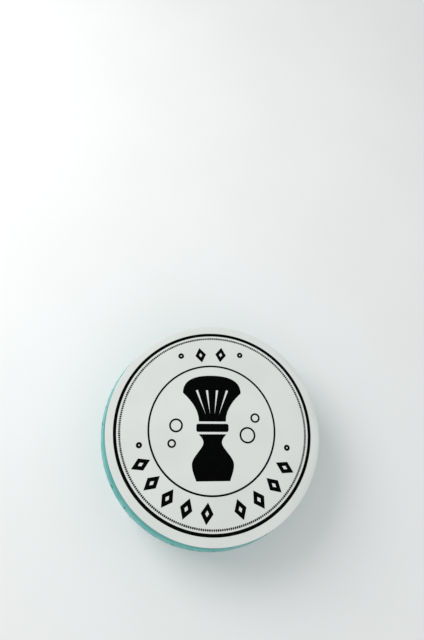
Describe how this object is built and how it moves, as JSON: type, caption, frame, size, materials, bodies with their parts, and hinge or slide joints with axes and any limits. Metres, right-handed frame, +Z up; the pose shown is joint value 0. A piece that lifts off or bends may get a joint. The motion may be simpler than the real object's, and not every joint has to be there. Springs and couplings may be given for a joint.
{
  "type": "shaving soap puck",
  "caption": "Round cast puck of teal glycerine shaving soap with a drafted side wall and a round printed paper label stuck on its face.",
  "frame": {"origin": "centre of the flat base that the puck stands on", "axes": "+Z up through the label, +Y towards the top of the printed label, +X to its right"},
  "size_m": [0.0788, 0.0788, 0.0243],
  "materials": {
    "soap": "satin, slightly translucent cast soap, teal",
    "adhesive": "thin clear-white pressure-sensitive adhesive",
    "paper": "smooth coated white label paper",
    "ink": "matt black print"
  },
  "bodies": {
    "root": {"soap_body": "soap", "label_adhesive": "adhesive", "label_sheet": "paper", "print_border_ring": "ink", "print_bead_ring": "ink", "print_inner_ring": "ink", "print_ring_dot_upper_right": "ink", "print_ring_dot_lower_right": "ink", "print_ring_dot_lower_left": "ink", "print_ring_dot_upper_left": "ink", "print_top_lozenge_1": "ink", "print_top_lozenge_2": "ink", "print_lower_right_lozenge_1": "ink", "print_lower_right_lozenge_2": "ink", "print_lower_right_lozenge_3": "ink", "print_lower_right_lozenge_4": "ink", "print_lower_left_lozenge_1": "ink", "print_lower_left_lozenge_2": "ink", "print_lower_left_lozenge_3": "ink", "print_lower_left_lozenge_4": "ink", "print_lower_left_lozenge_5": "ink", "print_brush_knot": "ink", "print_brush_collar": "ink", "print_brush_handle": "ink", "print_bubble_right_large": "ink", "print_bubble_right_small": "ink", "print_bubble_left_large": "ink", "print_bubble_left_small": "ink"}
  },
  "joints": []
}
